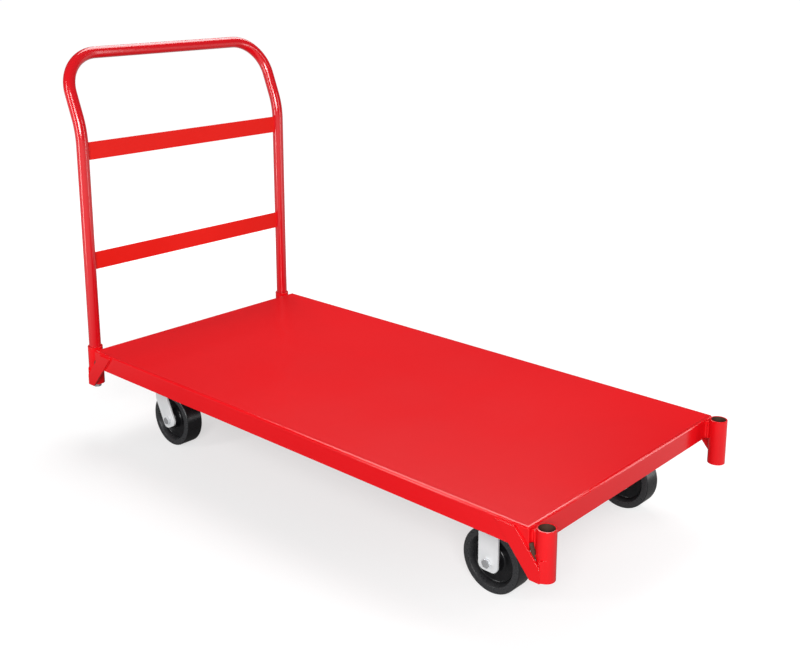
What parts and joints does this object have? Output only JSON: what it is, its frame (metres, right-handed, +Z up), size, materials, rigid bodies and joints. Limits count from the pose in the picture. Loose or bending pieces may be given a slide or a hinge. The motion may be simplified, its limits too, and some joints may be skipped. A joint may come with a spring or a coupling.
{
  "type": "platform truck",
  "caption": "Steel platform truck with a flat folded deck, rigid and swivel casters, corner sockets and a removable tubular push handle.",
  "frame": {"origin": "on the floor under the centre of the whole cart's length and width", "axes": "+X along the deck from the handle end to the free end, +Y to the left, +Z up"},
  "size_m": [1.7006, 0.7722, 1.098],
  "materials": {
    "red_powder_coat": "gloss powder coat",
    "zinc_plate": "bright zinc plate, satin",
    "bearing_steel": "oiled machined steel",
    "wheel_black": "moulded black, low sheen"
  },
  "bodies": {
    "deck_frame": {"deck_plate": "red_powder_coat", "front_cross_channel": "red_powder_coat", "rear_cross_channel": "red_powder_coat", "left_stringer": "red_powder_coat", "right_stringer": "red_powder_coat", "front_left_caster_pad": "red_powder_coat", "front_left_socket": "red_powder_coat", "front_left_socket_spacer": "red_powder_coat", "front_left_gusset": "red_powder_coat", "front_right_caster_pad": "red_powder_coat", "front_right_socket": "red_powder_coat", "front_right_socket_spacer": "red_powder_coat", "front_right_gusset": "red_powder_coat", "rear_left_caster_pad": "red_powder_coat", "rear_left_socket": "red_powder_coat", "rear_left_socket_spacer": "red_powder_coat", "rear_left_gusset": "red_powder_coat", "rear_right_caster_pad": "red_powder_coat", "rear_right_socket": "red_powder_coat", "rear_right_socket_spacer": "red_powder_coat", "rear_right_gusset": "red_powder_coat", "front_left_fork": "zinc_plate", "front_left_spanner_sleeve": "bearing_steel", "front_left_axle_bolt": "zinc_plate", "front_left_axle_nut": "zinc_plate", "front_right_fork": "zinc_plate", "front_right_spanner_sleeve": "bearing_steel", "front_right_axle_bolt": "zinc_plate", "front_right_axle_nut": "zinc_plate", "rear_left_swivel_plate": "zinc_plate", "rear_left_ball_ring": "zinc_plate", "rear_left_kingpin": "zinc_plate", "rear_right_swivel_plate": "zinc_plate", "rear_right_ball_ring": "zinc_plate", "rear_right_kingpin": "zinc_plate"},
    "front_left_wheel_set": {"front_left_wheel": "wheel_black", "front_left_roller_bearing": "bearing_steel"},
    "front_right_wheel_set": {"front_right_wheel": "wheel_black", "front_right_roller_bearing": "bearing_steel"},
    "rear_left_wheel_set": {"rear_left_wheel": "wheel_black", "rear_left_roller_bearing": "bearing_steel"},
    "rear_left_swivel": {"rear_left_swivel_fork": "zinc_plate", "rear_left_spanner_sleeve": "bearing_steel", "rear_left_axle_bolt": "zinc_plate", "rear_left_axle_nut": "zinc_plate"},
    "rear_right_wheel_set": {"rear_right_wheel": "wheel_black", "rear_right_roller_bearing": "bearing_steel"},
    "rear_right_swivel": {"rear_right_swivel_fork": "zinc_plate", "rear_right_spanner_sleeve": "bearing_steel", "rear_right_axle_bolt": "zinc_plate", "rear_right_axle_nut": "zinc_plate"},
    "handle": {"handle_tube": "red_powder_coat", "lower_crossbar": "red_powder_coat", "upper_crossbar": "red_powder_coat", "left_post_plug": "bearing_steel", "right_post_plug": "bearing_steel"},
    "left_handle_fixing": {"left_handle_bolt": "zinc_plate", "left_handle_washer": "zinc_plate"},
    "right_handle_fixing": {"right_handle_bolt": "zinc_plate", "right_handle_washer": "zinc_plate"}
  },
  "joints": [
    {"name": "front_left_wheel_spin", "type": "hinge", "parent": "deck_frame", "child": "front_left_wheel_set", "pos_m": [0.63711, 0.264, 0.0762], "axis": [0, 1, 0], "continuous": true},
    {"name": "front_right_wheel_spin", "type": "hinge", "parent": "deck_frame", "child": "front_right_wheel_set", "pos_m": [0.63711, -0.264, 0.0762], "axis": [0, 1, 0], "continuous": true},
    {"name": "rear_left_swivel_turn", "type": "hinge", "parent": "deck_frame", "child": "rear_left_swivel", "pos_m": [-0.53689, 0.264, 0.1652], "axis": [0, 0, 1], "continuous": true},
    {"name": "rear_left_wheel_spin", "type": "hinge", "parent": "rear_left_swivel", "child": "rear_left_wheel_set", "pos_m": [-0.49889, 0.264, 0.0762], "axis": [0, 1, 0], "continuous": true},
    {"name": "rear_right_swivel_turn", "type": "hinge", "parent": "deck_frame", "child": "rear_right_swivel", "pos_m": [-0.53689, -0.264, 0.1652], "axis": [0, 0, 1], "continuous": true},
    {"name": "rear_right_wheel_spin", "type": "hinge", "parent": "rear_right_swivel", "child": "rear_right_wheel_set", "pos_m": [-0.49889, -0.264, 0.0762], "axis": [0, 1, 0], "continuous": true},
    {"name": "handle_lift", "type": "slide", "parent": "deck_frame", "child": "handle", "axis": [0, 0, 1], "range_m": [0, 0.15]},
    {"name": "left_bolt_unscrew", "type": "slide", "parent": "deck_frame", "child": "left_handle_fixing", "axis": [0, 0, -1], "range_m": [0, 0.04]},
    {"name": "right_bolt_unscrew", "type": "slide", "parent": "deck_frame", "child": "right_handle_fixing", "axis": [0, 0, -1], "range_m": [0, 0.04]}
  ]
}
